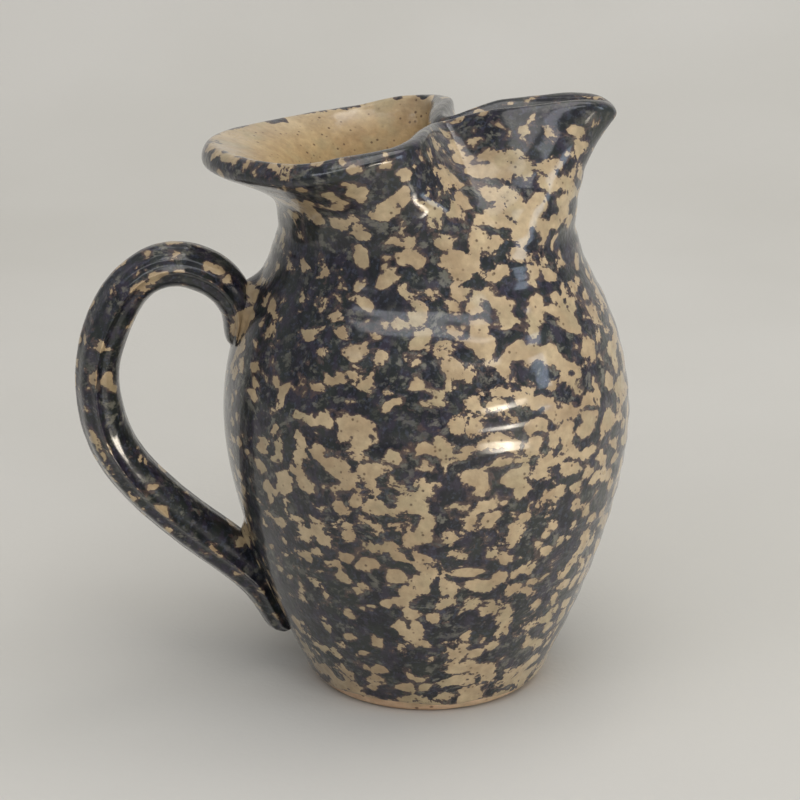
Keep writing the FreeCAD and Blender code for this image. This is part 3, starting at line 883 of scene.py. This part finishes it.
WIDTH = [HANDLE_WIDTH * s for s in (0.92, 1, 1.02) + (1,) * 10 + (0.98, 0.90, 0.72, 0.38)]
SECTION_HALF = np.array([(0, 1.0), (0.20, 0.97), (0.42, 0.84), (0.64, 0.72), (0.84, 0.52), (0.92, 0.24),
                         (1.07, 0.02), (0.93, -0.20), (0.84, -0.45), (0.66, -0.74), (0.40, -0.92),
                         (0.16, -1.0), (0, -1.0)])
RIDGE_HALF = np.array([0.6, 0.3, 0.0, 0.2, 0.5, 0.1, 1.0, 0.2, 0.0, 0.1, 0.0, 0.0, 0.0])
section = np.vstack([SECTION_HALF, (SECTION_HALF * (-1, 1))[-2:0:-1]])
section_ridge = np.concatenate([RIDGE_HALF, RIDGE_HALF[-2:0:-1]])
print("handle path of", len(HANDLE_PATH), "places, section of", len(section), "points")

# %% Stations along the handle
STATION_SWEEPS = 60


def refined(path, *columns):
    """The path and its sizes at twice as many stations, on a smooth curve through them."""
    table = np.column_stack([path] + list(columns))
    poles = table.copy()
    for _ in range(STATION_SWEEPS):
        poles[1:-1] = (table[1:-1] * 6 - poles[:-2] - poles[2:]) / 4
    mids = (poles[:-3] + 23 * poles[1:-2] + 23 * poles[2:-1] + poles[3:]) / 48
    first = (table[0] + table[1]) / 2
    last = (table[-1] + table[-2]) / 2
    halves = np.vstack([first, mids, last])
    out = np.empty((len(table) * 2 - 1, table.shape[1]))
    out[0::2], out[1::2] = table, halves
    return out


stations = refined(HANDLE_PATH, WIDTH, THICKNESS)
tangent = np.gradient(stations[:, :2], axis=0)
tangent /= np.linalg.norm(tangent, axis=1, keepdims=True)
out_way = np.stack([-tangent[:, 1], tangent[:, 0]], 1)
handle_dir = np.array((math.cos(HANDLE_TURN), math.sin(HANDLE_TURN)))
side_dir = np.array((-handle_dir[1], handle_dir[0], 0.0))
handle_rows = []
for (reach_mm, height, width, thick), normal in zip(stations, out_way):
    centre = np.array((handle_dir[0] * reach_mm, handle_dir[1] * reach_mm, height))
    outward = np.array((handle_dir[0] * normal[0], handle_dir[1] * normal[0], normal[1]))
    half_width, half_thick = width / 2 + GLAZE, thick / 2 + GLAZE
    across = section[:, :1] * half_width * side_dir
    handle_rows.append(centre + across + section[:, 1:] * half_thick * outward)
print("handle:", len(handle_rows), "stations")

# %% Strap handle
RIDGE_BARE = 0.16
HANDLE_DARK = 1.1
STEADY_STATIONS = 4

poles = np.array(handle_rows)
wanted = poles.copy()
for _ in range(STATION_SWEEPS):
    poles[1:-1] = (wanted[1:-1] * 6 - poles[:-2] - poles[2:]) / 4
from_start = np.arange(len(poles))
steady = np.clip(np.minimum(from_start, from_start[::-1]) / STEADY_STATIONS, 0, 1)
handle_cage = ring_mesh("strap_handle", cage_points(poles), {
    "inside": section_ridge[None, :] * RIDGE_BARE, "dark": HANDLE_DARK, "ridges": 0.0,
    "movable": steady[:, None]}, cap_start=True, cap_end=True, flip=True)
strap_handle = fire(handle_cage, SPONGED, Levels=3, Wobble_Depth=0.0003, Wobble_Scale=42.0,
                    Dimple_Depth=0.00012, Seed=5.0)

# %% [markdown]
# ## Smeared joins
# A handle is stuck on with slip and a little extra clay thumbed round each end. Each join is a low mound
# that dies away into the wall. It can be made as rings round a capsule on the wall's own surface, each
# ring lifted off it by a bell-shaped height.

# %% A point on the wall
def wall_point(arc, height, lift):
    """Point on the wall beside the handle: arc across in mm, height, and lift off the surface."""
    radius = skin_at(height)
    slope = (skin_at(height + 1.0) - skin_at(height - 1.0)) / 2
    turn = HANDLE_TURN + arc / radius
    scale = 1 / math.hypot(1, slope)
    radius += lift * scale
    return radius * math.cos(turn), radius * math.sin(turn), height - lift * slope * scale


behind_handle = wall_point(0.0, BELLY[0], 0.0)
print("wall behind the grip at", [round(part, 1) for part in behind_handle], "mm")

# %% Join mounds
INNER_RINGS = (0.35, 0.7)
SPREADS = (0.0, 0.5, 1.0, 1.6, 2.4, 3.4, 4.6, 6.2)
SUNK = 0.3


def join_mound(name, top, bottom, half_top, half_bottom, rise, fade, seed):
    """Low mound over a handle root, a capsule on the wall that dies away in a bell."""
    rows = []
    for inner in INNER_RINGS:
        rows.append([])
        for turn in turns:
            share = (1 + math.sin(turn)) / 2
            half = (half_bottom + (half_top - half_bottom) * share) * inner
            middle_z = bottom + (top - bottom) * (0.5 + (share - 0.5) * inner)
            rows[-1].append(wall_point(half * math.cos(turn), middle_z, rise - SUNK))
    for spread in SPREADS:
        ring = []
        for turn in turns:
            share = (1 + math.sin(turn)) / 2
            half = half_bottom + (half_top - half_bottom) * share
            wave = 1 + 0.12 * math.sin(3 * turn + seed) + 0.08 * math.sin(5 * turn + 2 * seed)
            lift = rise * math.exp(-(spread / (fade * wave)) ** 1.5) - SUNK
            height = bottom + (top - bottom) * share + spread * math.sin(turn)
            ring.append(wall_point((half + spread) * math.cos(turn), height, lift))
        rows.append(ring)
    cage = ring_mesh(name, cage_points(rows), {"inside": 0.05, "dark": 0.1, "ridges": 0.0, "movable": 0.3},
                     cap_start=True, flip=True)
    return fire(cage, SPONGED, Levels=3, Wobble_Depth=0.0003, Wobble_Scale=60.0, Dimple_Depth=0.0002,
                Seed=seed)


upper_smear = join_mound("upper_smear", 125.0, 110.5, 6.6, 6.0, 3.6, 2.9, 2.0)
lower_smear = join_mound("lower_smear", 48.0, 19.0, 6.2, 3.6, 2.8, 2.6, 4.0)

# %% [markdown]
# ## Faces the right way out
# A cage wound the wrong way round gives a shell whose faces look inwards, and light and export both read
# that as a hole. Each shell is made consistent first, then turned over if most of its area looks the
# wrong way.

# %% Face everything outwards
LIP_FOOT = 0.12
ABOVE_ARCH = 0.134


def face_outwards(piece, away):
    """Turn a shell so that most of its faces look the way that away says."""
    mesh = bmesh.new()
    mesh.from_mesh(piece.data)
    bmesh.ops.recalc_face_normals(mesh, faces=mesh.faces)
    good = 0.0
    for face in mesh.faces:
        good += face.calc_area() * face.normal.dot(away(face.calc_center_median()))
    if good < 0:
        bmesh.ops.reverse_faces(mesh, faces=mesh.faces)
    mesh.to_mesh(piece.data)
    mesh.free()
    print(piece.name, "was turned over" if good < 0 else "already faced outwards")


def from_axis(point):
    """Straight out from the pot's own axis."""
    return Vector((point.x, point.y, 0.0))


face_outwards(upper_smear, from_axis)
face_outwards(lower_smear, from_axis)
face_outwards(bare_foot, lambda point: Vector((point.x, point.y, -0.02)))
face_outwards(glazed_wall, lambda point: from_axis(point) * (1 if point.z < LIP_FOOT else 0))
face_outwards(liner_wall, lambda point: -from_axis(point) + Vector((0, 0, 0.0001)))
face_outwards(strap_handle, lambda point: Vector((0, 0, 1.0 if point.z > ABOVE_ARCH else 0.0)))

# %% [markdown]
# ## Seats
# Each finished piece rides the one rigid body and takes the place of the solids that it stands for, so
# the packed model and the finished one stay the same pot.

# %% Seat the pieces on the frame
SEATS = {
    glazed_wall: (("outer_glaze",), "sponged_glaze"),
    liner_wall: (("liner_glaze",), "tan_liner"),
    bare_foot: (("clay_body",), "bare_clay"),
    strap_handle: (("clay_handle", "handle_glaze"), "sponged_glaze"),
    upper_smear: (("upper_join_clay",), "sponged_glaze"),
    lower_smear: (("lower_join_clay",), "sponged_glaze"),
}
for piece, (nodes, finish) in SEATS.items():
    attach(piece, "root")
    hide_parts(*nodes)
    print(piece.name, "stands for", ", ".join(nodes))

# %% [markdown]
# ## Studio
# A roll of pale paper makes floor and backdrop in one soft curve. A wide overhead light gives the even
# tone and a strip in front lays the soft band on the shoulder. A tall cool panel stands for a window at
# the right, a low warm lamp catches on the belly, and one more light evens out the backdrop.

# %% Paper sweep
PAPER_HALF = 1.6
PAPER_FRONT = -1.4
BEND_START = 0.55
BEND_RADIUS = 0.7
PAPER_COLUMNS = 9
PAPER_DROP = 0.0001
sweep = [(PAPER_FRONT + (BEND_START - PAPER_FRONT) * step / 10, 0.0) for step in range(11)]
sweep += [(BEND_START + BEND_RADIUS * math.sin(a), BEND_RADIUS * (1 - math.cos(a)))
          for a in np.linspace(0, math.pi / 2, 15)[1:]]
sweep += [(BEND_START + BEND_RADIUS, BEND_RADIUS + 0.4 * step) for step in range(1, 5)]
sides = np.linspace(-PAPER_HALF, PAPER_HALF, PAPER_COLUMNS)
vertices = [(x, y, z - PAPER_DROP) for y, z in sweep for x in sides]
faces = []
for row in range(len(sweep) - 1):
    for column in range(PAPER_COLUMNS - 1):
        near = row * PAPER_COLUMNS + column
        far = near + PAPER_COLUMNS
        faces.append((near, near + 1, far + 1, far))
paper_mesh = bpy.data.meshes.new("paper_sweep")
paper_mesh.from_pydata(vertices, [], faces)
paper_mesh.polygons.foreach_set("use_smooth", [True] * len(faces))
paper = bpy.data.objects.new("paper_sweep", paper_mesh)
scene.collection.objects.link(paper)
print("paper of", len(faces), "faces")

# %% Paper finish
material, w, shader = new_material("studio_paper")
place = object_place(w)
blotch = w.ramp(w.noise(place, 3.0, 3.0), 0.3, 0.7)
paper_colour = mix(w, blotch, rgb(199, 197, 191), rgb(206, 204, 199))
w.tree.links.new(paper_colour, shader.inputs["Base Color"])
shader.inputs["Roughness"].default_value = 0.9
bump(w, shader, ((w.noise(place, 500.0, 3.0), 0.0001),))
paper_mesh.materials.append(material)
print("paper finish:", len(material.node_tree.nodes), "nodes")


# %% Lights
def area_light(name, location, target, size, power, colour):
    """Flat light of a width and height in metres, turned to look at its target."""
    data = bpy.data.lights.new(name, "AREA")
    data.shape = "RECTANGLE"
    data.size, data.size_y = size
    data.energy = power
    data.color = colour
    light = bpy.data.objects.new(name, data)
    light.location = location
    light.rotation_euler = (Vector(target) - Vector(location)).to_track_quat("-Z", "Y").to_euler()
    scene.collection.objects.link(light)
    return light


TARGET = (0.0, 0.0, 0.09)
LAMP_SPREAD = 34.0
area_light("overhead", (0.25, -0.15, 1.7), TARGET, (1.8, 1.4), 18.0, (1.0, 0.97, 0.92))
area_light("front_strip", (0.0, -1.05, 1.12), TARGET, (2.4, 0.30), 7.0, (0.93, 0.96, 1.0))
area_light("window", (1.22, -0.34, 0.40), TARGET, (0.26, 0.42), 1.5, (0.70, 0.84, 1.0))
area_light("backdrop", (0.0, 0.55, 1.35), (0.0, 1.25, 0.75), (1.6, 0.4), 3.0, (1.0, 0.99, 0.97))
lamp = area_light("lamp", (0.66, -0.60, 0.045), (0.03, -0.04, 0.094), (0.50, 0.10), 0.16, (1.0, 0.90, 0.75))
lamp.data.spread = math.radians(LAMP_SPREAD)

# %% Sky
world = bpy.data.worlds.new("studio")
world.use_nodes = True
sky = world.node_tree.nodes["Background"]
sky.inputs["Color"].default_value = (0.82, 0.82, 0.84, 1.0)
sky.inputs["Strength"].default_value = 0.36
scene.world = world
scene.view_settings.view_transform = "Standard"
print("sky strength", round(sky.inputs["Strength"].default_value, 2))

# %% Camera
LOOK_DOWN, LOOK_LEFT = 18.28, 4.72
camera_data = bpy.data.cameras.new("camera")
camera_data.lens = 100.6
camera_data.sensor_width = 36.0
camera = bpy.data.objects.new("camera", camera_data)
camera.location = (0.0453, -0.6484, 0.3026)
camera.rotation_euler = (math.radians(90 - LOOK_DOWN), 0.0, math.radians(LOOK_LEFT))
scene.collection.objects.link(camera)
scene.camera = camera
print("camera at", tuple(round(c, 3) for c in camera.location))
